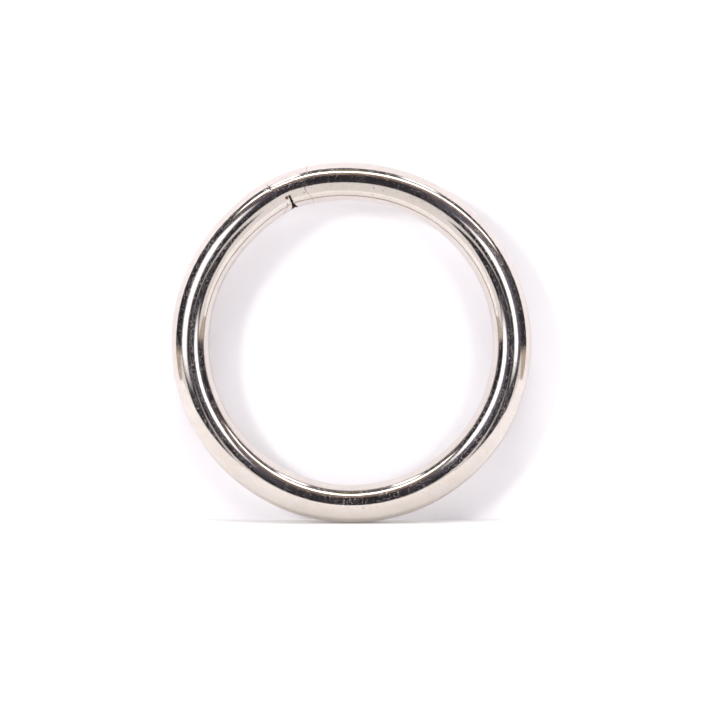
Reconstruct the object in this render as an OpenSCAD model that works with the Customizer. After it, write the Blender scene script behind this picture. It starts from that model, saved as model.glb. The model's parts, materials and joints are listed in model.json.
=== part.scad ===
// Key ring bent from one round wire to a single turn. The two ends of the wire meet
// at a split. The ring's axis lies along Y, so it stands on its edge in the XZ plane,
// and the origin is the centre of the ring. Angles round it run from +X towards +Z.

/* [Wire] */
// Diameter of the round wire
wire_d = 3.4; // [2:0.05:4]
// Clear diameter inside the ring
inside_d = 25.4; // [20:0.1:40]

/* [Split] */
// Angle round the ring at which the wire ends meet
split_angle = 112.5; // [0:0.5:180]
// How far the wire's centre line stands outside the circle at the split
end_rise = 0.33; // [0.1:0.01:0.5]
// Angle on each side of the split over which the wire eases out to that height
end_angle = 38; // [30:1:45]
// Gap between the two end faces
end_gap = 0.02; // [0.01:0.01:0.1]

/* [Slot on the inner side of the split] */
// How far the slot reaches into the wire from the inside of the ring
slot_depth = 1.25; // [1:0.05:1.6]
// Width of the slot's narrow part
slot_w = 0.18; // [0.12:0.02:0.3]
// Depth of the flared mouth
mouth_depth = 0.65; // [0.3:0.05:0.8]
// Width of the mouth where it opens into the ring
mouth_w = 0.5; // [0.4:0.05:1]

/* [Hidden] */

wire_facets = 96;
ring_facets = 360;
half_turn = 180;
nickel = [0.80, 0.79, 0.77];

// Radius of the wire's centre line round most of the ring, and at the split.
bend_r = (inside_d + wire_d) / 2;
split_r = bend_r + end_rise;

// Near the split the centre line follows a flatter arc, which leaves the circle along
// its tangent at end_angle. Its centre is shifted away from there by ease_shift, which
// is a whole number of micrometres, so the two arcs meet without a step.
micrometre = 0.001;
ease_exact = (split_r * split_r - bend_r * bend_r) / (2 * (bend_r - split_r * cos(end_angle)));
ease_shift = round(ease_exact / micrometre) * micrometre;
ease_r = bend_r + ease_shift;

// The flatter arc is made this much too long, in degrees, then cut at the split.
end_overrun = 10;
trim_size = 4 * wire_d;

// The flare starts inside the wire's surface and carries on past it.
mouth_r = split_r - wire_d / 2;
flare_overrun = wire_d / 4;
flare_slope = (mouth_w - slot_w) / 2 / mouth_depth;

// Wire bent to an arc about the present origin, from angle 0 round to a given angle.
module bent_wire(arc_r, sweep) {
    rotate_extrude(angle = sweep, $fn = ring_facets)
        translate([arc_r, 0])
            circle(d = wire_d, $fn = wire_facets);
}

// The two arcs of one arm, joined where the flatter one starts, at +X.
module joined_arcs() {
    union() {
        bent_wire(bend_r, half_turn - end_angle);
        translate([-ease_shift, 0, 0])
            bent_wire(ease_r, -end_angle - end_overrun);
    }
}

// Everything beyond the split, and half of the gap on this side of it.
module past_split() {
    translate([split_r - trim_size / 2, end_gap / 2 - trim_size, -trim_size / 2])
        cube(trim_size);
}

// The arm's half of the slot: a narrow cut that flares out to the mouth.
module half_slot() {
    translate([mouth_r, 0, -wire_d])
        linear_extrude(2 * wire_d)
            polygon([
                [slot_depth, -end_gap],
                [slot_depth - slot_w / 2, slot_w / 2],
                [mouth_depth, slot_w / 2],
                [-flare_overrun, mouth_w / 2 + flare_slope * flare_overrun],
                [-flare_overrun, -end_gap],
            ]);
}

// One arm: half of the ring's wire, from its end face at the split round to the heel.
// It lies in the XY plane, with the split on +X and the arm on the +Y side of it.
module flat_arm() {
    difference() {
        rotate([0, 0, end_angle])
            joined_arcs();
        past_split();
        half_slot();
    }
}

// Stands a flat arm on its edge, with the split at its angle.
module stand() {
    rotate([90, 0, 0])
        rotate([0, 0, split_angle])
            children();
}

// Arm on the left of the split, seen from -Y.
module left_arm() {
    color(nickel)
        stand()
            flat_arm();
}

// Arm on the right: the left one's mirror image in the plane of the split.
module right_arm() {
    color(nickel)
        stand()
            mirror([0, 1, 0])
                flat_arm();
}

left_arm();
right_arm();
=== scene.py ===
"""Visual model of a key ring: one round plated wire bent to a single turn, its ends butted.

The wire is built as two arms that meet at the split and at the heel opposite it. Each arm stands for the
CAD solid of the same name and rides on that body. Lengths are in metres, and the ring's axis is Y.
"""

import json
import logging
import math
from dataclasses import dataclass, field
from enum import Enum

import bpy
import numpy as np
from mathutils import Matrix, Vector

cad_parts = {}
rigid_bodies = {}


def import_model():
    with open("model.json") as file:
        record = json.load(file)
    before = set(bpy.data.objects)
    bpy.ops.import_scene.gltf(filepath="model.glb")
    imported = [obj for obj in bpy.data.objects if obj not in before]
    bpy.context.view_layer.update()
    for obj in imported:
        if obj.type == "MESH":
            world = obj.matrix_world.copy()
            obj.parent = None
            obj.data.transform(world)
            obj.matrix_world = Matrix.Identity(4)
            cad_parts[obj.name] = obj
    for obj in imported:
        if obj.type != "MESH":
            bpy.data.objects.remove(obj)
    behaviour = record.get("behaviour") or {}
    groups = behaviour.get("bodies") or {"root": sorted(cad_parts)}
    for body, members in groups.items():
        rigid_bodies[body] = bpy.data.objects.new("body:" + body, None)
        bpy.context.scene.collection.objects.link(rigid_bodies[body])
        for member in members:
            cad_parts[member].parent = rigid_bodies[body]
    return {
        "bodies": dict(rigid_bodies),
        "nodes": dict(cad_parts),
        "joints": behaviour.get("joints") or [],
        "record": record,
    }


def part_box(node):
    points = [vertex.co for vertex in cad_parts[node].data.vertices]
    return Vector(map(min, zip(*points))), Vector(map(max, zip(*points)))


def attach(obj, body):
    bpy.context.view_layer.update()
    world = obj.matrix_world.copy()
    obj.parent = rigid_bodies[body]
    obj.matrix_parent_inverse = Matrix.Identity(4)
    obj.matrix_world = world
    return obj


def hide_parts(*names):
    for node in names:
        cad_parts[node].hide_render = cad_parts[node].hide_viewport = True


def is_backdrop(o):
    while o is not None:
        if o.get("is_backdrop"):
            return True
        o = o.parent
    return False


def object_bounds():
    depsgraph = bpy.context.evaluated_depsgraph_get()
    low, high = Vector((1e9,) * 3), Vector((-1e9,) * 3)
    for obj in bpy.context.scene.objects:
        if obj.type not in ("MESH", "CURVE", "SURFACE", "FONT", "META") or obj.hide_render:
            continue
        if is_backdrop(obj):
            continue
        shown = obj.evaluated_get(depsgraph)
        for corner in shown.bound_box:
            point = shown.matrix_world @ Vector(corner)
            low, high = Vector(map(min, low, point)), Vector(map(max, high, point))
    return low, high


MM = 0.001
LOG = logging.getLogger("key_ring")


class Side(Enum):
    """Which way an arm runs round the ring from the split, seen from the front."""

    LEFT = 1.0
    RIGHT = -1.0


def bell(x: np.ndarray, width: float) -> np.ndarray:
    """A hump of height 1 at zero that falls away as exp(-(x / width)^2).

    Args:
        x: Distances from the middle of the hump.
        width: Distance at which the hump has fallen to 0.37.

    Returns:
        The hump's height at each distance.
    """
    return np.exp(-((x / width) ** 2))


def soft_step(x: np.ndarray, low: float, high: float) -> np.ndarray:
    """A smooth rise from 0 at low to 1 at high, as 3t^2 - 2t^3.

    Args:
        x: Where to read the step.
        low: Where the rise starts.
        high: Where the rise ends.

    Returns:
        Values from 0 to 1.
    """
    t = np.clip((x - low) / (high - low), 0.0, 1.0)
    return t * t * (3.0 - 2.0 * t)


# ---------------------------------------------------------------------------------------------- meshes


@dataclass
class MeshMaker:
    """Gathers faces of three or four corners over one list of points and makes a mesh of them."""

    name: str
    points: np.ndarray
    faces: list[np.ndarray] = field(default_factory=list)
    normals: list[np.ndarray] = field(default_factory=list)
    slots: list[int] = field(default_factory=list)

    def add(self, faces: np.ndarray, normals: np.ndarray, slot: int) -> None:
        """Adds faces that share a corner count.

        Args:
            faces: Point numbers, one row a face.
            normals: A normal for each corner of each face.
            slot: Material slot of the faces.
        """
        self.faces.append(faces)
        self.normals.append(normals.reshape(-1, 3))
        self.slots.append(slot)

    def build(self) -> bpy.types.Object:
        """Makes the object, at the origin, with smooth shading and its own corner normals."""
        mesh = bpy.data.meshes.new(self.name)
        corners = np.concatenate([f.ravel() for f in self.faces]).astype(np.int32)
        sizes = np.concatenate([np.full(len(f), f.shape[1]) for f in self.faces])
        starts = np.concatenate([[0], np.cumsum(sizes)[:-1]]).astype(np.int32)
        slots = np.concatenate([np.full(len(f), s) for f, s in zip(self.faces, self.slots)])
        mesh.vertices.add(len(self.points))
        mesh.vertices.foreach_set("co", self.points.astype(np.float32).ravel())
        mesh.loops.add(len(corners))
        mesh.loops.foreach_set("vertex_index", corners)
        mesh.polygons.add(len(sizes))
        mesh.polygons.foreach_set("loop_start", starts)
        mesh.polygons.foreach_set("material_index", slots.astype(np.int32))
        mesh.update(calc_edges=True)
        mesh.validate()
        mesh.polygons.foreach_set("use_smooth", np.ones(len(sizes), dtype=bool))
        mesh.normals_split_custom_set(np.concatenate(self.normals).tolist())
        piece = bpy.data.objects.new(self.name, mesh)
        bpy.context.scene.collection.objects.link(piece)
        return piece


def flat_panel(name: str, corners: np.ndarray) -> bpy.types.Object:
    """A flat panel of four corners.

    Args:
        name: Name of the object.
        corners: Four points, anticlockwise as seen from the side it faces.

    Returns:
        The panel.
    """
    mesh = bpy.data.meshes.new(name)
    mesh.from_pydata(corners.tolist(), [], [(0, 1, 2, 3)])
    mesh.update()
    panel = bpy.data.objects.new(name, mesh)
    bpy.context.scene.collection.objects.link(panel)
    return panel


# ----------------------------------------------------------------------------------------- node trees


@dataclass
class NodeBench:
    """Short calls that add nodes to one tree and give back their outputs."""

    tree: bpy.types.NodeTree

    def node(self, kind: str, **settings: object) -> bpy.types.Node:
        """Adds a node.

        Args:
            kind: Blender's name for the node type.
            **settings: Properties to set on it.

        Returns:
            The node.
        """
        made = self.tree.nodes.new(kind)
        for key, value in settings.items():
            setattr(made, key, value)
        return made

    def feed(self, socket: bpy.types.NodeSocket, value: object) -> None:
        """Links an output to a socket, or sets the socket's own value.

        Args:
            socket: The input to feed.
            value: An output, or a plain value.
        """
        if isinstance(value, bpy.types.NodeSocket):
            self.tree.links.new(value, socket)
        else:
            socket.default_value = value

    def math(self, operation: str, *values: object) -> bpy.types.NodeSocket:
        """Adds a Math node.

        Args:
            operation: Blender's name for the operation.
            *values: Outputs or numbers.

        Returns:
            Its result.
        """
        made = self.node("ShaderNodeMath", operation=operation)
        for socket, value in zip(made.inputs, values):
            self.feed(socket, value)
        return made.outputs[0]

    def step(
        self, value: object, low: float, high: float, to_low: float = 0.0, to_high: float = 1.0
    ) -> bpy.types.NodeSocket:
        """A smooth step from to_low at low to to_high at high.

        Args:
            value: The output to read.
            low: Where the step starts.
            high: Where the step ends.
            to_low: Result at and below low.
            to_high: Result at and above high.

        Returns:
            The stepped output.
        """
        made = self.node("ShaderNodeMapRange", interpolation_type="SMOOTHSTEP", clamp=True)
        for name, number in (
            ("Value", value),
            ("From Min", low),
            ("From Max", high),
            ("To Min", to_low),
            ("To Max", to_high),
        ):
            self.feed(made.inputs[name], number)
        return made.outputs["Result"]

    def window(self, value: object, low: float, high: float, edge: float) -> bpy.types.NodeSocket:
        """A smooth window: the product of a rising and a falling step.

        Args:
            value: The output to read.
            low: Where the window has half opened.
            high: Where it has half closed.
            edge: Width of each step.

        Returns:
            1 between low and high, and 0 beyond.
        """
        rise = self.step(value, low - edge / 2, low + edge / 2)
        fall = self.step(value, high - edge / 2, high + edge / 2, 1.0, 0.0)
        return self.math("MULTIPLY", rise, fall)

    def total(self, *values: object) -> bpy.types.NodeSocket:
        """Adds the values up.

        Args:
            *values: Outputs or numbers.

        Returns:
            Their sum.
        """
        result = values[0]
        for value in values[1:]:
            result = self.math("ADD", result, value)
        return result

    def mix(self, share: object, first: object, second: object) -> bpy.types.NodeSocket:
        """Mixes two colours.

        Args:
            share: Share of the second colour.
            first: Colour at share 0.
            second: Colour at share 1.

        Returns:
            The mixed colour.
        """
        made = self.node("ShaderNodeMix", data_type="RGBA")
        self.feed(made.inputs[0], share)
        self.feed(made.inputs[6], first)
        self.feed(made.inputs[7], second)
        return made.outputs[2]

    def noise(
        self, place: object, scale: float, detail: float = 2.0, rough: float = 0.5
    ) -> bpy.types.NodeSocket:
        """Smooth noise from 0 to 1.

        Args:
            place: Where to read it.
            scale: Features in a unit of length.
            detail: Number of finer octaves.
            rough: Strength of each octave as a share of the last.

        Returns:
            The noise.
        """
        made = self.node("ShaderNodeTexNoise")
        self.feed(made.inputs["Vector"], place)
        made.inputs["Scale"].default_value = scale
        made.inputs["Detail"].default_value = detail
        made.inputs["Roughness"].default_value = rough
        return made.outputs["Fac"]

    def surface(self, share: object, first: bpy.types.Node, second: bpy.types.Node) -> None:
        """Ends the tree in a mix of two shaders.

        Args:
            share: Share of the second shader.
            first: Shader at share 0.
            second: Shader at share 1.
        """
        both = self.node("ShaderNodeMixShader")
        self.feed(both.inputs[0], share)
        self.feed(both.inputs[1], first.outputs[0])
        self.feed(both.inputs[2], second.outputs[0])
        out = self.node("ShaderNodeOutputMaterial")
        self.feed(out.inputs["Surface"], both.outputs[0])

    def stretch(self, place: object, factors: tuple[float, float, float]) -> bpy.types.NodeSocket:
        """Stretches a place.

        Args:
            place: The place.
            factors: What each of its numbers is multiplied by.

        Returns:
            The stretched place.
        """
        made = self.node("ShaderNodeMapping", vector_type="POINT")
        self.feed(made.inputs["Vector"], place)
        made.inputs["Scale"].default_value = factors
        return made.outputs["Vector"]


def grey(level: float) -> tuple[float, float, float, float]:
    """A neutral colour of that level."""
    return (level, level, level, 1.0)


@dataclass(frozen=True)
class SurfaceGroups:
    """Node groups for effects that the plated and the bare steel use. Scales are in features a metre."""

    line_scale: tuple[float, float, float] = (500.0, 9000.0, 9000.0)
    nick_scale: tuple[float, float, float] = (5800.0, 17000.0, 17000.0)
    patch_scale: tuple[float, float, float] = (420.0, 900.0, 900.0)
    patch_share: float = 0.20
    fleck_top: float = 0.992
    fleck_drop: float = 0.3
    fleck_edge: float = 14.0
    pit_scale: float = 1500.0
    pit_cluster_scale: float = 420.0
    cloud_scale: float = 170.0
    mottle_scale: float = 1500.0

    @staticmethod
    def _group(
        name: str, inputs: dict[str, float], outputs: list[str]
    ) -> tuple[bpy.types.NodeTree, NodeBench, bpy.types.Node, bpy.types.Node]:
        """Makes an empty group with a Place input.

        Args:
            name: Name of the group.
            inputs: Number inputs and their defaults.
            outputs: Names of its number outputs.

        Returns:
            The group, a bench on it, and its input and output nodes.
        """
        group = bpy.data.node_groups.new(name, "ShaderNodeTree")
        group.interface.new_socket("Place", in_out="INPUT", socket_type="NodeSocketVector")
        for key, value in inputs.items():
            made = group.interface.new_socket(key, in_out="INPUT", socket_type="NodeSocketFloat")
            made.default_value = value
        for key in outputs:
            group.interface.new_socket(key, in_out="OUTPUT", socket_type="NodeSocketFloat")
        bench = NodeBench(group)
        return group, bench, bench.node("NodeGroupInput"), bench.node("NodeGroupOutput")

    def drawn_grain(self) -> bpy.types.NodeTree:
        """Fine lines and short flecks that run along the wire, left by the drawing die.

        A fleck stands where fine noise, with a share of patchy noise added, rises above a level. The
        level falls as Fleck Share grows.

        Returns:
            A group that puts out Height, from the lines, and Flecks, a mask of bright nicks.
        """
        group, bench, given, out = self._group(
            "drawn_grain", {"Fleck Share": 0.5}, ["Height", "Flecks"]
        )
        place = given.outputs["Place"]
        lines = bench.noise(bench.stretch(place, self.line_scale), 1.0, 3.0, 0.6)
        nicks = bench.noise(bench.stretch(place, self.nick_scale), 1.0, 1.0)
        patches = bench.noise(bench.stretch(place, self.patch_scale), 1.0, 1.0)
        level = bench.total(nicks, bench.math("MULTIPLY", patches, self.patch_share))
        fall = bench.math("MULTIPLY", given.outputs["Fleck Share"], self.fleck_drop)
        above = bench.math("SUBTRACT", level, bench.math("SUBTRACT", self.fleck_top, fall))
        flecks = bench.math("MAXIMUM", bench.math("MULTIPLY", above, self.fleck_edge), 0.0)
        bench.feed(out.inputs["Height"], lines)
        bench.feed(out.inputs["Flecks"], bench.math("MINIMUM", flecks, 1.0))
        return group

    def pits(self) -> bpy.types.NodeTree:
        """Round pits of mixed size, scattered thinly in clusters.

        Returns:
            A group that puts out Depth, 1 at the bottom of a pit and 0 on the sound surface.
        """
        group, bench, given, out = self._group("pits", {}, ["Depth"])
        cells = bench.node("ShaderNodeTexVoronoi", feature="F1")
        bench.feed(cells.inputs["Vector"], given.outputs["Place"])
        cells.inputs["Scale"].default_value = self.pit_scale
        cluster = bench.noise(given.outputs["Place"], self.pit_cluster_scale, 0.0)
        hole = bench.step(cells.outputs["Distance"], 0.04, 0.17, 1.0, 0.0)
        bench.feed(out.inputs["Depth"], bench.math("MULTIPLY", hole, bench.step(cluster, 0.66, 0.74)))
        return group

    def tarnish(self) -> bpy.types.NodeTree:
        """Cloudy variation at the size of a fingertip mark, with finer mottling in it.

        Returns:
            A group that puts out Cloud, from 0 to 1.
        """
        group, bench, given, out = self._group("tarnish", {}, ["Cloud"])
        wide = bench.noise(given.outputs["Place"], self.cloud_scale, 3.0, 0.55)
        fine = bench.noise(given.outputs["Place"], self.mottle_scale, 2.0, 0.6)
        both = bench.total(bench.math("MULTIPLY", wide, 0.7), bench.math("MULTIPLY", fine, 0.3))
        bench.feed(out.inputs["Cloud"], bench.step(both, 0.35, 0.65))
        return group

    def build(self) -> dict[str, bpy.types.NodeTree]:
        """Builds the groups and gives them by name."""
        return {group.name: group for group in (self.drawn_grain(), self.pits(), self.tarnish())}


@dataclass(frozen=True)
class RustSpot:
    """A round spot of brown rust that has come through the plating."""

    centre: tuple[float, float, float]
    radius: float


@dataclass(frozen=True)
class NickelPlate:
    """Bright nickel over drawn steel wire, polished, with flecks along the wire, a few pits and painted
    shade in the creases.
    """

    spots: tuple[RustSpot, ...]
    bright: tuple[float, float, float, float] = (0.725, 0.67, 0.63, 1.0)
    dull: tuple[float, float, float, float] = (0.665, 0.61, 0.565, 1.0)
    pitted: tuple[float, float, float, float] = (0.16, 0.13, 0.11, 1.0)
    # Painted shade: the dark brown laid into the creases.
    painted_crease_shade: tuple[float, float, float, float] = (0.10, 0.065, 0.05, 1.0)
    rust: tuple[float, float, float, float] = (0.105, 0.036, 0.018, 1.0)
    polish: float = 0.055
    fleck_share: float = 0.81
    worked_flecks: float = 0.20
    crease_shade_strength: float = 0.65
    ragged: float = 0.09 * MM
    relief: float = 0.006 * MM
    ripple_scale: tuple[float, float, float] = (300.0, 700.0, 700.0)
    lump_scale: float = 5200.0

    def material(self, groups: dict[str, bpy.types.NodeTree]) -> bpy.types.Material:
        """Makes the plating.

        Args:
            groups: The shared node groups by name.

        Returns:
            The material.
        """
        made = bpy.data.materials.new("bright_nickel_plate")
        made.use_nodes = True
        bench = NodeBench(made.node_tree)
        shader = made.node_tree.nodes["Principled BSDF"]
        along = bench.node("ShaderNodeAttribute", attribute_name="wire_co").outputs["Vector"]
        worked = bench.node("ShaderNodeAttribute", attribute_name="worked").outputs["Fac"]
        # Mask of the painted shade in the creases, stored on the mesh.
        groove_shade = bench.node("ShaderNodeAttribute", attribute_name="groove_shade").outputs["Fac"]
        place = bench.node("ShaderNodeTexCoord").outputs["Object"]
        grain, pits, tarnish = (
            bench.node("ShaderNodeGroup", node_tree=groups[name])
            for name in ("drawn_grain", "pits", "tarnish")
        )
        extra = bench.math("MULTIPLY", worked, self.worked_flecks)
        bench.feed(grain.inputs["Place"], along)
        bench.feed(grain.inputs["Fleck Share"], bench.total(self.fleck_share, extra))
        bench.feed(pits.inputs["Place"], place)
        bench.feed(tarnish.inputs["Place"], place)
        cloud, flecks, pit = tarnish.outputs["Cloud"], grain.outputs["Flecks"], pits.outputs["Depth"]
        # Painted shade in the creases: darker and rougher where the groove is deeper.
        painted_crease_shade = bench.math("MULTIPLY", groove_shade, self.crease_shade_strength)
        rust = self._rust_mask(bench, place)

        colour = bench.mix(cloud, self.bright, self.dull)
        colour = bench.mix(bench.math("MULTIPLY", pit, 0.55), colour, self.pitted)
        colour = bench.mix(painted_crease_shade, colour, self.painted_crease_shade)
        bench.feed(shader.inputs["Base Color"], bench.mix(rust, colour, self.rust))
        rough = bench.total(
            self.polish,
            bench.math("MULTIPLY", cloud, 0.035),
            bench.math("MULTIPLY", painted_crease_shade, 0.25),
            bench.math("MULTIPLY", flecks, 0.10),
            bench.math("MULTIPLY", pit, 0.2),
            bench.math("MULTIPLY", rust, 0.55),
        )
        bench.feed(shader.inputs["Roughness"], rough)
        metal = bench.math("SUBTRACT", 1.0, bench.math("MULTIPLY", rust, 0.85))
        bench.feed(shader.inputs["Metallic"], metal)

        lumps = bench.math("MULTIPLY", bench.noise(place, self.lump_scale, 3.0, 0.6), worked)
        height = bench.total(
            bench.math("MULTIPLY", grain.outputs["Height"], 0.10),
            bench.math("MULTIPLY", flecks, 0.60),
            bench.math("MULTIPLY", pit, -0.9),
            bench.math("MULTIPLY", bench.noise(bench.stretch(along, self.ripple_scale), 1.0), 0.9),
            bench.math("MULTIPLY", lumps, 1.1),
        )
        bump = bench.node("ShaderNodeBump")
        bump.inputs["Distance"].default_value = self.relief
        bench.feed(bump.inputs["Height"], height)
        bench.feed(shader.inputs["Normal"], bump.outputs["Normal"])
        return made

    def _rust_mask(self, bench: NodeBench, place: bpy.types.NodeSocket) -> bpy.types.NodeSocket:
        """A mask of the rust spots, each with a ragged edge: its distance is shifted by fine noise.

        Args:
            bench: Bench on the material.
            place: Object coordinates.

        Returns:
            1 in a spot and 0 outside.
        """
        shift = bench.math("SUBTRACT", bench.noise(place, 9000.0), 0.5)
        shift = bench.math("MULTIPLY", shift, self.ragged)
        mask: object = 0.0
        for spot in self.spots:
            gap = bench.node("ShaderNodeVectorMath", operation="DISTANCE")
            bench.feed(gap.inputs[0], place)
            gap.inputs[1].default_value = spot.centre
            shifted = bench.total(gap.outputs["Value"], shift)
            one = bench.step(shifted, spot.radius * 0.7, spot.radius * 1.15, 1.0, 0.0)
            mask = bench.math("MAXIMUM", mask, one)
        return mask


@dataclass(frozen=True)
class CutSteel:
    """Bare steel of the cropped wire ends: grey shear marks browned by rust."""

    steel: tuple[float, float, float, float] = (0.48, 0.36, 0.31, 1.0)
    rust: tuple[float, float, float, float] = (0.11, 0.042, 0.022, 1.0)
    relief: float = 0.015 * MM
    mark_scale: tuple[float, float, float] = (2500.0, 14000.0, 2500.0)

    def material(self, groups: dict[str, bpy.types.NodeTree]) -> bpy.types.Material:
        """Makes the finish of the cut ends.

        Args:
            groups: The shared node groups by name.

        Returns:
            The material.
        """
        made = bpy.data.materials.new("bare_cut_steel")
        made.use_nodes = True
        bench = NodeBench(made.node_tree)
        shader = made.node_tree.nodes["Principled BSDF"]
        place = bench.node("ShaderNodeTexCoord").outputs["Object"]
        tarnish = bench.node("ShaderNodeGroup", node_tree=groups["tarnish"])
        bench.feed(tarnish.inputs["Place"], place)
        pits = bench.node("ShaderNodeGroup", node_tree=groups["pits"])
        bench.feed(pits.inputs["Place"], place)
        cloud = tarnish.outputs["Cloud"]
        bench.feed(shader.inputs["Base Color"], bench.mix(cloud, self.steel, self.rust))
        bench.feed(shader.inputs["Roughness"], bench.step(cloud, 0.0, 1.0, 0.42, 0.8))
        bench.feed(shader.inputs["Metallic"], bench.step(cloud, 0.0, 1.0, 0.55, 0.15))
        marks = bench.noise(bench.stretch(place, self.mark_scale), 1.0, 3.0, 0.6)
        bump = bench.node("ShaderNodeBump")
        bump.inputs["Distance"].default_value = self.relief
        bench.feed(bump.inputs["Height"], bench.math("SUBTRACT", marks, pits.outputs["Depth"]))
        bench.feed(shader.inputs["Normal"], bump.outputs["Normal"])
        return made


# ------------------------------------------------------------------------------------------- the ring


@dataclass(frozen=True)
class RingSizes:
    """Sizes of the ring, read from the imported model."""

    wire_r: float
    bend_r: float
    split: float

    @classmethod
    def from_frame(cls, frame: dict) -> "RingSizes":
        """Reads the wire's radius, the bend's radius and the angle of the split from the frame.


        Returns:
            The sizes, in metres and radians.
        """
        low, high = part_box("left_arm")
        wire_r = (high.y - low.y) / 2
        heel = frame["joints"][0]["pos_m"]
        bend_r = math.hypot(heel[0], heel[2])
        split = math.atan2(heel[2], heel[0]) + math.pi
        return cls(wire_r, bend_r, split)


@dataclass(frozen=True)
class FiledFlat:
    """A shallow flat dressed on the wire beside the split, with a soft or sharp end at each side.

    Attributes:
        turn: Section angle of the flat's middle.
        depth: How much is filed off there.
        start: Arc length where the flat starts to deepen.
        stop: Arc length where it has run out.
        start_edge: Length over which it deepens.
        stop_edge: Length over which it runs out.
    """

    turn: float
    depth: float
    start: float
    stop: float
    start_edge: float
    stop_edge: float

    def radius(self, angle: np.ndarray, along: np.ndarray, wire_r: float) -> np.ndarray:
        """Distance from the wire's centre to the flat: (radius - depth) / cos(angle from its middle).

        Args:
            angle: Angle round the wire's section, 0 at the outside and a quarter turn at the front.
            along: Arc length from the split, positive on the left arm.
            wire_r: Radius of the wire.

        Returns:
            The distance, larger than wire_r where the flat doesn't reach.
        """
        share = soft_step(along, self.start, self.start + self.start_edge) * (
            1.0 - soft_step(along, self.stop - self.stop_edge, self.stop)
        )
        away = np.clip(np.abs(np.angle(np.exp(1j * (angle - self.turn)))), 0.0, 1.3)
        return (wire_r - self.depth * share) / np.cos(away)


@dataclass(frozen=True)
class Crease:
    """A fine groove across the wire, along the line s = at + sway * hump(angle).

    Attributes:
        at: Arc length from the split where the groove crosses the wire.
        sway: How far its line swings aside at the top of the hump.
        sway_turn: Section angle of the hump.
        depth: Depth of the groove.
        width: Half width of the groove.
        turn: Section angle of the groove's middle.
        reach: Section angle that it spans on each side of that.
    """

    at: float
    sway: float
    sway_turn: float
    depth: float
    width: float
    turn: float
    reach: float

    def drop(self, angle: np.ndarray, along: np.ndarray) -> np.ndarray:
        """Depth of the groove: a narrow hump across its line, faded out at its reach.

        Args:
            angle: Angle round the wire's section.
            along: Arc length from the split, positive on the left arm.

        Returns:
            The depth at each place.
        """
        away = np.angle(np.exp(1j * (angle - self.turn)))
        swing = np.angle(np.exp(1j * (angle - self.sway_turn)))
        line = self.at + self.sway * bell(swing, 0.45)
        fade = 1.0 - soft_step(np.abs(away), self.reach * 0.8, self.reach)
        return self.depth * bell(along - line, self.width) * fade


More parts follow.
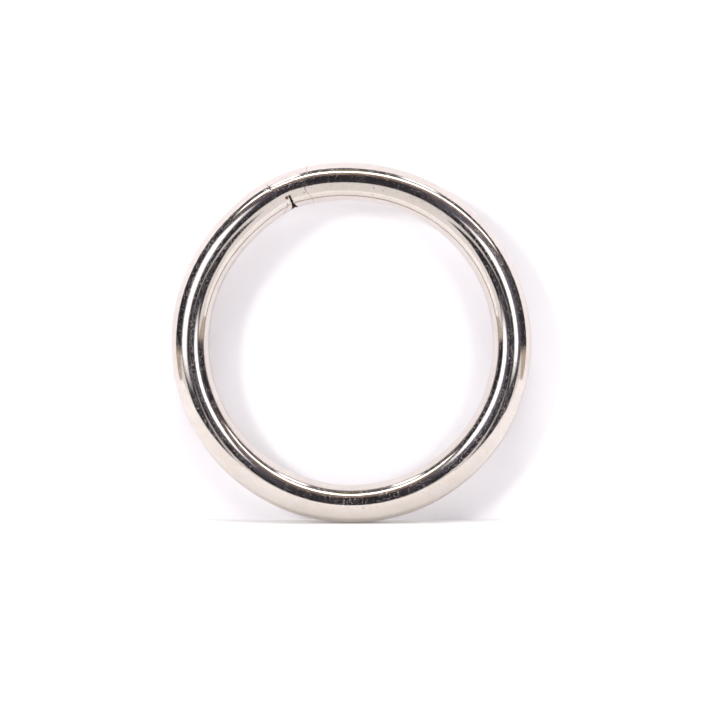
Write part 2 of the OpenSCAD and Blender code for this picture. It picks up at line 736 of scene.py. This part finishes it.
@dataclass(frozen=True)
class WireShape:
    """The wire's surface near and far from the split, as a function of arc length and section angle."""

    sizes: RingSizes
    rise: float = 0.295 * MM
    left_ease: float = 15.8
    right_ease: float = 19.1
    neck: float = 0.075 * MM
    neck_reach: float = 1.35 * MM
    neck_inside: float = 1.25
    neck_outside: float = 0.9
    flats: tuple[FiledFlat, ...] = (
        FiledFlat(math.radians(59.5), 0.004 * MM, -0.75 * MM, 1.33 * MM, 0.75 * MM, 0.05 * MM),
        FiledFlat(math.radians(104.0), 0.036 * MM, -1.15 * MM, 2.3 * MM, 0.9 * MM, 2.2 * MM),
    )
    creases: tuple[Crease, ...] = (
        Crease(
            at=-2.02 * MM,
            sway=0.50 * MM,
            sway_turn=math.radians(98.0),
            depth=0.006 * MM,
            width=0.024 * MM,
            turn=math.radians(95.0),
            reach=1.75,
        ),
        Crease(
            at=1.34 * MM,
            sway=-0.10 * MM,
            sway_turn=math.radians(62.0),
            depth=0.022 * MM,
            width=0.045 * MM,
            turn=math.radians(49.0),
            reach=0.27,
        ),
        Crease(
            at=0.40 * MM,
            sway=0.87 * MM,
            sway_turn=math.radians(165.0),
            depth=0.030 * MM,
            width=0.045 * MM,
            turn=math.radians(150.0),
            reach=0.50,
        ),
    )

    def centre(self, along: np.ndarray) -> tuple[np.ndarray, np.ndarray]:
        """Distance of the wire's centre line from the ring's centre, and its slope.

        It is the bend's radius plus a hump of the rise at the split. The hump falls away as a bell curve
        in the angle from the split, a little wider on the right arm than on the left.

        Args:
            along: Arc length from the split, positive on the left arm.

        Returns:
            The distance, and its change with the angle round the ring.
        """
        turn = along / self.sizes.bend_r
        width = np.radians(np.where(turn > 0, self.left_ease, self.right_ease))
        hump = self.rise * bell(turn, width)
        return self.sizes.bend_r + hump, -2.0 * turn / width**2 * hump

    def section(self, angle: np.ndarray, along: np.ndarray) -> np.ndarray:
        """Radius of the wire's section: the drawn radius less the neck, filed flats and creases.

        Args:
            angle: Angle round the section.
            along: Arc length from the split, positive on the left arm.

        Returns:
            The radius at each place.
        """
        pull = np.cos(angle) ** 2 * np.where(np.cos(angle) < 0, self.neck_inside, self.neck_outside)
        radius = self.sizes.wire_r - self.neck * pull * bell(along, self.neck_reach)
        for flat in self.flats:
            radius = np.minimum(radius, flat.radius(angle, along, self.sizes.wire_r))
        for crease in self.creases:
            radius = radius - crease.drop(angle, along)
        return radius

    def groove_shade(self, angle: np.ndarray, along: np.ndarray) -> np.ndarray:
        """How much painted shade lies in the creases: the groove's depth here as a share of its deepest.

        Args:
            angle: Angle round the section.
            along: Arc length from the split, positive on the left arm.

        Returns:
            Values from 0 to 1.
        """
        shares = [crease.drop(angle, along) / crease.depth for crease in self.creases]
        return np.clip(np.max(np.stack(shares), axis=0), 0.0, 1.0)

    def surface(self, angle: np.ndarray, along: np.ndarray) -> np.ndarray:
        """Points on the wire: centre line + radius * (cos(angle) * outward + sin(angle) * forward).

        Args:
            angle: Angle round the section, 0 outside, a quarter turn at the front (-Y).
            along: Arc length from the split, positive on the left arm.

        Returns:
            Points, one row for each place.
        """
        turn = self.sizes.split + along / self.sizes.bend_r
        reach, slope = self.centre(along)
        out = np.stack([np.cos(turn), np.zeros_like(turn), np.sin(turn)], -1)
        side = np.stack([-np.sin(turn), np.zeros_like(turn), np.cos(turn)], -1)
        outward = out * reach[..., None] - side * slope[..., None]
        outward /= np.linalg.norm(outward, axis=-1, keepdims=True)
        radius = self.section(angle, along)[..., None]
        forward = np.array([0.0, -1.0, 0.0])
        return (
            out * reach[..., None]
            + radius * np.cos(angle)[..., None] * outward
            + radius * np.sin(angle)[..., None] * forward
        )


@dataclass(frozen=True)
class EndFace:
    """Shape of a wire end at the split: closed on the outside, and cut back to a slot on the inside."""

    gap: float = 0.004 * MM
    slot_top: float = 14.26 * MM
    slot_half: float = 0.095 * MM
    mouth_top: float = 13.62 * MM
    mouth_half: float = 0.42 * MM
    mouth_end: float = 13.0 * MM
    corner: float = 0.05 * MM
    closed_from: float = 0.1 * MM
    closed_at: float = 0.6 * MM

    def offset(self, reach: np.ndarray, across: np.ndarray) -> np.ndarray:
        """How far the face stands back from the split's plane.

        It is half of the gap on the outside, then the slot's half width, then a flare to the mouth.

        Args:
            reach: Distance from the ring's centre along the split.
            across: Distance behind the ring's middle plane. The slot runs out behind it.

        Returns:
            The offset at each place.
        """
        slot = (self.slot_half - self.gap / 2) * (
            1.0 - soft_step(reach, self.slot_top - self.corner, self.slot_top + self.corner)
        )
        flare = np.clip((self.mouth_top - reach) / (self.mouth_top - self.mouth_end), 0.0, 1.2)
        open_share = 1.0 - soft_step(across, self.closed_from, self.closed_at)
        mouth = flare**1.3 * (self.mouth_half - self.slot_half)
        return self.gap / 2 + (slot + mouth) * open_share


@dataclass(frozen=True)
class WorkedPatch:
    """The part of the wire beside the split that was hammered and dressed, and is rougher.

    Attributes:
        middle: Arc length of its middle.
        half: Half of its full-strength length.
        fade: Distance from the middle where it has faded out.
        rise: Section angles between which it sets in.
        fall: Section angles between which it ends.
    """

    middle: float = -0.28 * MM
    half: float = 1.35 * MM
    fade: float = 1.75 * MM
    rise: tuple[float, float] = (0.85, 1.05)
    fall: tuple[float, float] = (1.50, 1.72)

    def share(self, angle: np.ndarray, along: np.ndarray) -> np.ndarray:
        """How much the wire was worked: a step along the wire times a band round its section.

        Args:
            angle: Angle round the section.
            along: Arc length from the split, positive on the left arm.

        Returns:
            Values from 0 to 1.
        """
        near = 1.0 - soft_step(np.abs(along - self.middle), self.half, self.fade)
        return near * soft_step(angle, *self.rise) * (1.0 - soft_step(angle, *self.fall))


@dataclass
class WireArm:
    """Half of the ring: a tube from the split to the heel, with a face at each end.

    Attributes:
        side: Which way it runs from the split.
        node: Name of its CAD node.
        shape: The wire's surface.
        face: The face at the split.
        patch: The worked part of the wire.
        rungs: Faces round the front half of the section, and round the back half.
        across: Inner points on each rung of an end face.
        fine_step: Spacing of the rows near the split.
        fine_reach: How far from the split that spacing runs.
        ease_steps: First and last spacing of the rows that follow.
        ease_rows: Number of those rows.
        even_step: Greatest spacing of the rest.
        heel_gap: How far short of the heel the arm stops, so that the two arms never touch there.
        face_fade: Distance over which the end face's shape dies out of the rows.
    """

    side: Side
    node: str
    shape: WireShape
    face: EndFace
    patch: WorkedPatch
    rungs: int = 70
    across: int = 18
    fine_step: float = 0.022 * MM
    fine_reach: float = 2.9 * MM
    ease_steps: tuple[float, float] = (0.024, 0.088)
    ease_rows: int = 56
    even_step: float = 0.092 * MM
    heel_gap: float = 0.0005 * MM
    face_fade: float = 0.42 * MM

    def section_angles(self) -> np.ndarray:
        """Angles round the section, front half then back half, so that they pair up across the wire."""
        front = np.linspace(0.0, math.pi, self.rungs + 1)
        return np.concatenate([front, -front[1:-1][::-1]])

    def rows(self) -> np.ndarray:
        """Arc lengths of the rows: fine near the split, where the detail is, and even further on."""
        length = math.pi * self.shape.sizes.bend_r - self.heel_gap
        fine = np.arange(0.0, self.fine_reach, self.fine_step)
        ease = self.fine_reach + np.cumsum(np.linspace(*self.ease_steps, self.ease_rows)) * MM
        count = int(math.ceil((length - ease[-1]) / self.even_step))
        even = np.linspace(ease[-1], length, count + 1)[1:]
        return np.concatenate([fine, ease, even])

    def edge_shift(self, angles: np.ndarray) -> np.ndarray:
        """Arc length at which each line of the tube starts, so that the tube ends on the end face.

        The face's offset is measured at the wire's surface, so it is scaled to the centre line.

        Args:
            angles: Section angles of the lines.

        Returns:
            An arc length for each line.
        """
        reach, _ = self.shape.centre(np.zeros(1))
        radius = self.shape.section(angles, np.zeros_like(angles))
        out = reach[0] + radius * np.cos(angles)
        return self.face.offset(out, -radius * np.sin(angles)) * self.shape.sizes.bend_r / out

    def tube(self) -> tuple[np.ndarray, np.ndarray, np.ndarray]:
        """The tube's points, normals and unrolled places.

        The rows are pushed along the wire by the end face's offset, which fades out away from the
        split. A normal is the cross product of the differences to the neighbouring rows and columns,
        and a spare row beyond each end gives the end rows the normals of an unbroken wire.

        Returns:
            Three arrays of rows x columns x 3.
        """
        rows = self.rows()
        rows = np.concatenate([[-rows[1]], rows, [rows[-1] + rows[-1] - rows[-2]]])
        angles = self.section_angles()
        angle, along = np.meshgrid(angles, rows)
        fade = np.exp(-np.clip(along, 0.0, None) / self.face_fade)
        shift = self.edge_shift(angles)[None, :] * fade
        along = (along + shift) * self.side.value
        points = self.shape.surface(angle, along)
        steps = np.gradient(points, axis=0)
        turns = np.roll(points, -1, axis=1) - np.roll(points, 1, axis=1)
        normals = np.cross(turns, steps) * self.side.value
        outward = points - self.middle(along)
        normals *= np.sign(np.sum(normals * outward, axis=-1, keepdims=True))
        normals /= np.linalg.norm(normals, axis=-1, keepdims=True)
        radius = self.shape.sizes.wire_r
        unrolled = np.stack([along, radius * np.cos(angle), radius * np.sin(angle)], -1)
        keep = slice(1, -1)
        return points[keep], normals[keep], unrolled[keep]

    def middle(self, along: np.ndarray) -> np.ndarray:
        """Points on the centre line: its distance from the ring's centre times the direction there.

        Args:
            along: Arc lengths from the split, positive on the left arm.

        Returns:
            The points.
        """
        turn = self.shape.sizes.split + along / self.shape.sizes.bend_r
        reach, _ = self.shape.centre(along)
        return np.stack([reach * np.cos(turn), np.zeros_like(turn), reach * np.sin(turn)], -1)

    def ladder(self, ring: np.ndarray, shaped: bool) -> np.ndarray:
        """Inner points of an end face: each rung joins a front point to the back point across from it.

        Args:
            ring: The tube's last row of points.
            shaped: True at the split, where the face follows the end face's offset.

        Returns:
            Points of rungs x across x 3.
        """
        front, back = ring[1 : self.rungs], ring[self.rungs + 1 :][::-1]
        share = np.linspace(0.0, 1.0, self.across + 2)[1:-1][None, :, None]
        inner = front[:, None] * (1.0 - share) + back[:, None] * share
        if shaped:
            split = self.shape.sizes.split
            out = np.array([math.cos(split), 0.0, math.sin(split)])
            side = np.array([-math.sin(split), 0.0, math.cos(split)]) * self.side.value
            reach, depth = inner @ out, inner[..., 1]
            offset = self.face.offset(reach, depth)
            inner = reach[..., None] * out + offset[..., None] * side
            inner[..., 1] = depth
        return inner

    def cap_faces(self, row: int, first: int, flip: bool) -> tuple[np.ndarray, np.ndarray]:
        """Faces of an end: four-cornered between rungs, three-cornered at the two ends of the ladder.

        Args:
            row: Number of the tube row's first point.
            first: Number of the ladder's first point.
            flip: Turns the faces over.

        Returns:
            The four-cornered and the three-cornered faces.
        """
        columns = 2 * self.rungs
        inner = first + np.arange((self.rungs - 1) * self.across).reshape(self.rungs - 1, self.across)
        front = row + np.arange(1, self.rungs)[:, None]
        back = row + (columns - np.arange(1, self.rungs))[:, None]
        rungs = np.concatenate([front, inner, back], axis=1)
        corners = [rungs[:-1, :-1], rungs[1:, :-1], rungs[1:, 1:], rungs[:-1, 1:]]
        quads = np.stack(corners, -1).reshape(-1, 4)
        tip = np.ones(rungs.shape[1] - 1, dtype=int)
        top = np.stack([tip * row, rungs[0, :-1], rungs[0, 1:]], -1)
        foot = np.stack([tip * (row + self.rungs), rungs[-1, 1:], rungs[-1, :-1]], -1)
        tris = np.concatenate([top, foot])
        return (quads[:, ::-1], tris[:, ::-1]) if flip else (quads, tris)

    @staticmethod
    def face_normals(points: np.ndarray, faces: np.ndarray) -> np.ndarray:
        """The flat normal of each face: the cross product of two of its edges, made unit length.

        Args:
            points: All points.
            faces: Point numbers, one row a face.

        Returns:
            A normal for each corner of each face.
        """
        corner = points[faces]
        flat = np.cross(corner[:, 1] - corner[:, 0], corner[:, 2] - corner[:, 0])
        flat /= np.maximum(np.linalg.norm(flat, axis=-1, keepdims=True), 1e-30)
        return np.repeat(flat[:, None], faces.shape[1], axis=1)

    def build(self, plate: bpy.types.Material, steel: bpy.types.Material) -> bpy.types.Object:
        """Builds the arm and dresses it.

        Args:
            plate: Finish of the wire.
            steel: Finish of the end faces.

        Returns:
            The arm, riding on its body in place of the CAD solid.
        """
        points, normals, unrolled = self.tube()
        count, columns = points.shape[:2]
        heads = self.ladder(points[0], shaped=True).reshape(-1, 3)
        heels = self.ladder(points[-1], shaped=False).reshape(-1, 3)
        every_point = np.concatenate([points.reshape(-1, 3), heads, heels])
        maker = MeshMaker(f"{self.node}_wire", every_point)

        number = np.arange(count * columns).reshape(count, columns)
        ahead = np.roll(number, -1, axis=1)
        quads = np.stack([number[:-1], ahead[:-1], ahead[1:], number[1:]], -1).reshape(-1, 4)
        if self.side is Side.LEFT:
            quads = quads[:, ::-1]
        maker.add(quads, normals.reshape(-1, 3)[quads], 0)
        first = count * columns
        for row, start, flip in (
            (0, first, self.side is Side.RIGHT),
            (first - columns, first + len(heads), self.side is Side.LEFT),
        ):
            for faces in self.cap_faces(row, start, flip):
                maker.add(faces, self.face_normals(every_point, faces), 1)

        piece = maker.build()
        self.store_places(piece.data, unrolled, np.concatenate([heads, heels]))
        piece.data.materials.append(plate)
        piece.data.materials.append(steel)
        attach(piece, self.node)
        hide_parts(self.node)
        return piece

    def store_places(self, mesh: bpy.types.Mesh, unrolled: np.ndarray, ends: np.ndarray) -> None:
        """Stores the place on the straightened wire, how much it was worked there, and the painted shade
        of its creases.

        Args:
            mesh: The arm's mesh.
            unrolled: Places of the tube's points.
            ends: Points of both end faces, which take their own position and have no painted shade.
        """
        places = np.concatenate([unrolled.reshape(-1, 3), ends])
        made = mesh.attributes.new("wire_co", "FLOAT_VECTOR", "POINT")
        made.data.foreach_set("vector", places.astype(np.float32).ravel())
        along, up, front = (unrolled[..., k] for k in range(3))
        angle = np.arctan2(front, up)
        # The second attribute is painted shade in the creases, following their depth.
        for name, share in (
            ("worked", self.patch.share(angle, along)),
            ("groove_shade", self.shape.groove_shade(angle, along)),
        ):
            values = np.concatenate([share.ravel(), np.zeros(len(ends))])
            made = mesh.attributes.new(name, "FLOAT", "POINT")
            made.data.foreach_set("value", values.astype(np.float32))


@dataclass
class KeyRing:
    """The whole ring: two arms of one wire."""

    sizes: RingSizes

    def place(self, along: float, angle: float) -> tuple[float, float, float]:
        """A point on the wire's surface, for a mark.

        Args:
            along: Arc length from the split, positive on the left arm.
            angle: Angle round the section.

        Returns:
            The point.
        """
        point = WireShape(self.sizes).surface(np.array([angle]), np.array([along]))[0]
        return tuple(float(x) for x in point)

    def build(self) -> list[bpy.types.Object]:
        """Builds both arms with their finishes and reports each."""
        groups = SurfaceGroups().build()
        spots = (
            RustSpot(self.place(0.30 * MM, math.radians(105.5)), 0.165 * MM),
            RustSpot(self.place(0.02 * MM, math.radians(104.5)), 0.135 * MM),
            RustSpot(self.place(1.40 * MM, math.radians(50.0)), 0.12 * MM),
            RustSpot(self.place(0.0, math.radians(122.0)), 0.15 * MM),
        )
        plate = NickelPlate(spots).material(groups)
        steel = CutSteel().material(groups)
        made = []
        for side, node in ((Side.LEFT, "left_arm"), (Side.RIGHT, "right_arm")):
            arm = WireArm(side, node, WireShape(self.sizes), EndFace(), WorkedPatch())
            piece = arm.build(plate, steel)
            mesh = piece.data
            LOG.info("%s: %d points, %d faces", piece.name, len(mesh.vertices), len(mesh.polygons))
            made.append(piece)
        return made


# ------------------------------------------------------------------------------------------ the studio


@dataclass(frozen=True)
class LightPanel:
    """An upright soft light that stands near the ring and is seen only in the polished metal."""

    name: str
    centre: tuple[float, float, float]
    width: float
    height: float
    level: float = 2.6
    tint: tuple[float, float, float, float] = (0.96, 0.95, 1.0, 1.0)

    def corners(self) -> np.ndarray:
        """The panel's corners: it stands upright and faces the ring's axis."""
        centre = np.array(self.centre)
        back = centre * np.array([1.0, 1.0, 0.0])
        back /= np.linalg.norm(back)
        w = np.array([-back[1], back[0], 0.0]) * self.width / 2
        h = np.array([0.0, 0.0, self.height / 2])
        return np.stack([centre - w - h, centre + w - h, centre + w + h, centre - w + h])

    def material(self) -> bpy.types.Material:
        """Makes its glow, which dims towards the edges and is clear beyond them."""
        made = bpy.data.materials.new(self.name)
        made.use_nodes = True
        made.node_tree.nodes.clear()
        bench = NodeBench(made.node_tree)
        apart = bench.node("ShaderNodeSeparateXYZ")
        bench.feed(apart.inputs[0], bench.node("ShaderNodeTexCoord").outputs["UV"])
        across, up = apart.outputs[0], apart.outputs[1]
        glow = bench.math(
            "MULTIPLY", bench.window(across, 0.21, 0.79, 0.42), bench.window(up, 0.12, 0.84, 0.24)
        )
        light = bench.node("ShaderNodeEmission")
        light.inputs["Color"].default_value = self.tint
        bench.feed(light.inputs["Strength"], bench.math("MULTIPLY", glow, self.level))
        clear = bench.node("ShaderNodeBsdfTransparent")
        bench.surface(bench.step(glow, 0.0, 0.25), clear, light)
        return made

    def build(self) -> bpy.types.Object:
        """Makes the panel."""
        panel = flat_panel(self.name, self.corners())
        layer = panel.data.uv_layers.new(name="UVMap")
        layer.data.foreach_set("uv", np.array([0, 0, 1, 0, 1, 1, 0, 1], dtype=np.float32))
        panel.data.materials.append(self.material())
        panel.visible_camera = False
        panel.visible_diffuse = False
        panel.visible_shadow = False
        panel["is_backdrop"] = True
        return panel


@dataclass(frozen=True)
class Lamp:
    """A square area light that faces the ring. It makes soft shadows and doesn't show in the metal."""

    name: str
    place: tuple[float, float, float]
    size: float
    power: float

    def build(self) -> None:
        """Makes the lamp."""
        data = bpy.data.lights.new(self.name, "AREA")
        data.shape, data.size, data.energy = "SQUARE", self.size, self.power
        lamp = bpy.data.objects.new(self.name, data)
        bpy.context.scene.collection.objects.link(lamp)
        lamp.location = self.place
        lamp.rotation_mode = "QUATERNION"
        lamp.rotation_quaternion = Vector(self.place).to_track_quat("Z", "Y")
        lamp.visible_glossy = False
        lamp.visible_camera = False


@dataclass(frozen=True)
class Paper:
    """White paper that is clear from behind, and in reflections beyond its near part.

    Attributes:
        name: Name of the material.
        side: Half of the width seen in reflections.
        front: How far in front of the ring it is seen in them.
        glow: Light that it gives of itself.
        tint: Colour of the paper.
    """

    name: str
    side: float
    front: float
    glow: float
    tint: tuple[float, float, float]
    fibre_scale: float = 900.0
    fibre_lift: float = 1.02

    def material(self) -> bpy.types.Material:
        """Makes the paper."""
        made = bpy.data.materials.new(self.name)
        made.use_nodes = True
        made.node_tree.nodes.clear()
        bench = NodeBench(made.node_tree)
        place = bench.node("ShaderNodeTexCoord").outputs["Object"]
        apart = bench.node("ShaderNodeSeparateXYZ")
        bench.feed(apart.inputs[0], place)
        fibre = bench.noise(place, self.fibre_scale, 3.0)
        lifted = (*(c * self.fibre_lift for c in self.tint), 1.0)
        white = bench.node("ShaderNodeBsdfDiffuse")
        bench.feed(white.inputs["Color"], bench.mix(fibre, (*self.tint, 1.0), lifted))
        shine = bench.node("ShaderNodeEmission")
        shine.inputs["Color"].default_value = grey(1.0)
        shine.inputs["Strength"].default_value = self.glow
        sheet = bench.node("ShaderNodeAddShader")
        bench.feed(sheet.inputs[0], white.outputs[0])
        bench.feed(sheet.inputs[1], shine.outputs[0])
        aside = bench.step(bench.math("ABSOLUTE", apart.outputs[0]), self.side, self.side * 1.1)
        ahead = bench.step(apart.outputs[1], -self.front, -self.front * 0.85, 1.0, 0.0)
        glossy = bench.node("ShaderNodeLightPath").outputs["Is Glossy Ray"]
        unseen = bench.math("MULTIPLY", bench.math("MAXIMUM", aside, ahead), glossy)
        behind = bench.node("ShaderNodeNewGeometry").outputs["Backfacing"]
        clear = bench.node("ShaderNodeBsdfTransparent")
        bench.surface(bench.math("MAXIMUM", unseen, behind), sheet, clear)
        return made


@dataclass
class Room:
    """The room round the ring.

    The camera sees it white and matt surfaces are lit by an even grey. Polished metal sees a dark
    room with a strip light overhead, two small high lights, pale paper behind and a pale table
    below. Each is placed by its direction in degrees: azimuth from the front towards +X,
    elevation, pitch in the YZ plane and sideways lean.
    """

    matt_level: float = 0.40
    camera_level: float = 1.02
    high_lights: tuple[tuple[float, float], ...] = ((-23.0, 11.0), (24.0, 12.0))

    def ceiling(
        self, bench: NodeBench, colour: object, pitch: object, lean: object
    ) -> bpy.types.NodeSocket:
        """Adds what hangs overhead.

        Args:
            bench: Bench on the world's tree.
            colour: The room so far.
            pitch: Pitch of the direction.
            lean: Sideways lean of the direction.

        Returns:
            The room with its ceiling glow, pale ceiling band, strip light and two high lights.
        """

        def patch(first: tuple[float, float, float], second: tuple[float, float, float]) -> object:
            """A patch of the ceiling: low, high and edge in pitch, then in lean."""
            return bench.math("MULTIPLY", bench.window(pitch, *first), bench.window(lean, *second))

        glow = patch((42.0, 62.0, 12.0), (-34.0, 56.0, 24.0))
        colour = bench.mix(bench.math("MULTIPLY", glow, 0.8), colour, (0.42, 0.31, 0.25, 1.0))
        veil = patch((72.0, 88.0, 8.0), (-60.0, 66.0, 20.0))
        colour = bench.mix(bench.math("MULTIPLY", veil, 0.35), colour, (0.35, 0.33, 0.33, 1.0))
        colour = bench.mix(patch((57.0, 66.5, 5.0), (-40.0, 54.0, 8.0)), colour, grey(4.0))
        fringe = patch((64.0, 69.0, 3.0), (-5.0, 5.0, 5.0))
        colour = bench.mix(bench.math("MULTIPLY", fringe, 0.8), colour, (0.9, 0.95, 0.05, 1.0))
        for middle, width in self.high_lights:
            light = patch((76.0, 88.0, 4.0), (middle - width / 2, middle + width / 2, 5.0))
            colour = bench.mix(light, colour, (3.0, 3.0, 3.1, 1.0))
        return colour

    def table(
        self, bench: NodeBench, colour: object, side: object, elevation: object
    ) -> bpy.types.NodeSocket:
        """Adds the pale table below. Its far edge dips on both sides of the front.

        Args:
            bench: Bench on the world's tree.
            colour: The room so far.
            side: Azimuth without its sign.
            elevation: Elevation of the direction.

        Returns:
            The room with the table, brownish along its edge at the sides.
        """
        dip = bench.math("MULTIPLY", bench.window(side, 12.0, 46.0, 18.0), 20.0)
        below = bench.math("SUBTRACT", -2.5, elevation)
        drop = bench.math("SUBTRACT", below, bench.total(dip, bench.step(side, 50.0, 80.0, 0.0, 11.0)))
        rim = bench.math("MULTIPLY", bench.step(below, 0.0, 4.0), bench.step(side, 42.0, 62.0))
        colour = bench.mix(rim, colour, (0.62, 0.52, 0.43, 1.0))
        return bench.mix(bench.step(drop, 0.0, 4.0), colour, (1.03, 1.0, 1.0, 1.0))

    def build(self) -> None:
        """Makes the world."""
        world = bpy.data.worlds.new("room")
        bpy.context.scene.world = world
        world.use_nodes = True
        world.node_tree.nodes.clear()
        bench = NodeBench(world.node_tree)
        way = bench.node("ShaderNodeTexCoord").outputs["Generated"]
        apart = bench.node("ShaderNodeSeparateXYZ")
        bench.feed(apart.inputs[0], way)
        x, y, z = apart.outputs
        front = bench.math("MULTIPLY", y, -1.0)

        def degrees(value: object) -> bpy.types.NodeSocket:
            """The angle in degrees."""
            return bench.math("MULTIPLY", value, 180.0 / math.pi)

        side = bench.math("ABSOLUTE", degrees(bench.math("ARCTAN2", x, front)))
        elevation = degrees(bench.math("ARCSINE", z))
        pitch = degrees(bench.math("ARCTAN2", z, front))
        lean = degrees(bench.math("ARCSINE", x))

        mottle = bench.noise(way, 3.0)
        colour = bench.mix(mottle, (0.016, 0.015, 0.020, 1.0), (0.058, 0.054, 0.064, 1.0))
        # Dim haze round the light panels.
        haze = bench.math(
            "MULTIPLY", bench.window(side, 18.0, 52.0, 26.0), bench.window(elevation, -6.0, 34.0, 24.0)
        )
        colour = bench.mix(bench.math("MULTIPLY", haze, 0.5), colour, (0.30, 0.28, 0.38, 1.0))
        colour = self.ceiling(bench, colour, pitch, lean)
        colour = self.table(bench, colour, side, elevation)
        # Paper behind, darker straight behind where the ring shades it.
        colour = bench.mix(bench.step(y, 0.055, 0.10), colour, (1.03, 1.01, 1.06, 1.0))
        shade = bench.math("MULTIPLY", bench.step(y, 0.80, 0.97), 0.8)
        colour = bench.mix(shade, colour, (0.12, 0.11, 0.12, 1.0))

        rays = bench.node("ShaderNodeLightPath")
        colour = bench.mix(rays.outputs["Is Diffuse Ray"], colour, grey(self.matt_level))
        colour = bench.mix(rays.outputs["Is Camera Ray"], colour, grey(self.camera_level))
        light = bench.node("ShaderNodeBackground")
        bench.feed(light.inputs["Color"], colour)
        out = bench.node("ShaderNodeOutputWorld")
        bench.feed(out.inputs["Surface"], light.outputs[0])


@dataclass
class Studio:
    """Pale floor, pale backdrop close behind the ring, soft lights and the camera."""

    floor_z: float
    backdrop_y: float = 3.1 * MM
    half_width: float = 2.0
    camera_distance: float = 350.0 * MM
    camera_rise: float = math.radians(3.0)
    aim_across: float = 0.79 * MM
    aim_down: float = 1.48 * MM
    field_of_view: float = math.radians(10.52)
    floor_paper: Paper = Paper("floor_paper", 62 * MM, 25 * MM, 0.10, (0.80, 0.785, 0.78))
    backdrop_paper: Paper = Paper("backdrop_paper", 66 * MM, 1.0, 0.02, (0.80, 0.78, 0.81))
    panels: tuple[LightPanel, ...] = (
        LightPanel("left_light_panel", (-60 * MM, -72 * MM, 22 * MM), 66 * MM, 92 * MM),
        LightPanel("right_light_panel", (56 * MM, -96 * MM, 16 * MM), 60 * MM, 76 * MM),
    )
    lamps: tuple[Lamp, ...] = (
        Lamp("key_light", (-0.26, -0.30, 0.14), 0.09, 0.92),
        Lamp("fill_light", (0.22, -0.34, 0.10), 0.12, 0.42),
        Lamp("top_light", (0.0, -0.15, 0.36), 0.14, 0.70),
    )

    def camera(self) -> None:
        """Places the camera in front of the ring, a little above it, without tilt or shift."""
        data = bpy.data.cameras.new("camera")
        data.sensor_width = 36.0
        data.lens = data.sensor_width / 2 / math.tan(self.field_of_view / 2)
        data.clip_start, data.clip_end = 0.01, 20.0
        data.dof.use_dof = False
        shown = bpy.data.objects.new("camera", data)
        bpy.context.scene.collection.objects.link(shown)
        aim = Vector((self.aim_across, 0.0, -self.aim_down))
        back = Vector((0.0, -math.cos(self.camera_rise), math.sin(self.camera_rise)))
        shown.location = aim + back * self.camera_distance
        shown.rotation_mode = "QUATERNION"
        shown.rotation_quaternion = (-back).to_track_quat("-Z", "Y")
        bpy.context.scene.camera = shown

    def papers(self) -> None:
        """Lays the floor that the ring stands on and hangs the backdrop close behind it."""
        w, y, z = self.half_width, self.backdrop_y, self.floor_z
        floor = np.array([[-w, -w, z], [w, -w, z], [w, w, z], [-w, w, z]])
        backdrop = np.array([[-w, y, z], [w, y, z], [w, y, w], [-w, y, w]])
        for name, corners, paper in (
            ("floor", floor, self.floor_paper),
            ("backdrop", backdrop, self.backdrop_paper),
        ):
            panel = flat_panel(name, corners)
            panel.data.materials.append(paper.material())
            panel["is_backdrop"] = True

    def build(self) -> None:
        """Builds the camera, the papers, the lights and the room."""
        self.camera()
        self.papers()
        for light in (*self.panels, *self.lamps):
            light.build()
        Room().build()
        bpy.context.scene.view_settings.view_transform = "Standard"
        LOG.info("studio built, floor at %.2f mm", self.floor_z / MM)


def main() -> None:
    """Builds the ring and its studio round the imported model."""
    logging.basicConfig(level=logging.INFO, format="%(name)s: %(message)s")
    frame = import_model()
    cad_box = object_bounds()
    sizes = RingSizes.from_frame(frame)
    LOG.info("wire radius %.3f mm, bend radius %.3f mm", sizes.wire_r / MM, sizes.bend_r / MM)
    KeyRing(sizes).build()
    Studio(floor_z=cad_box[0].z).build()


if __name__ == "__main__":
    main()
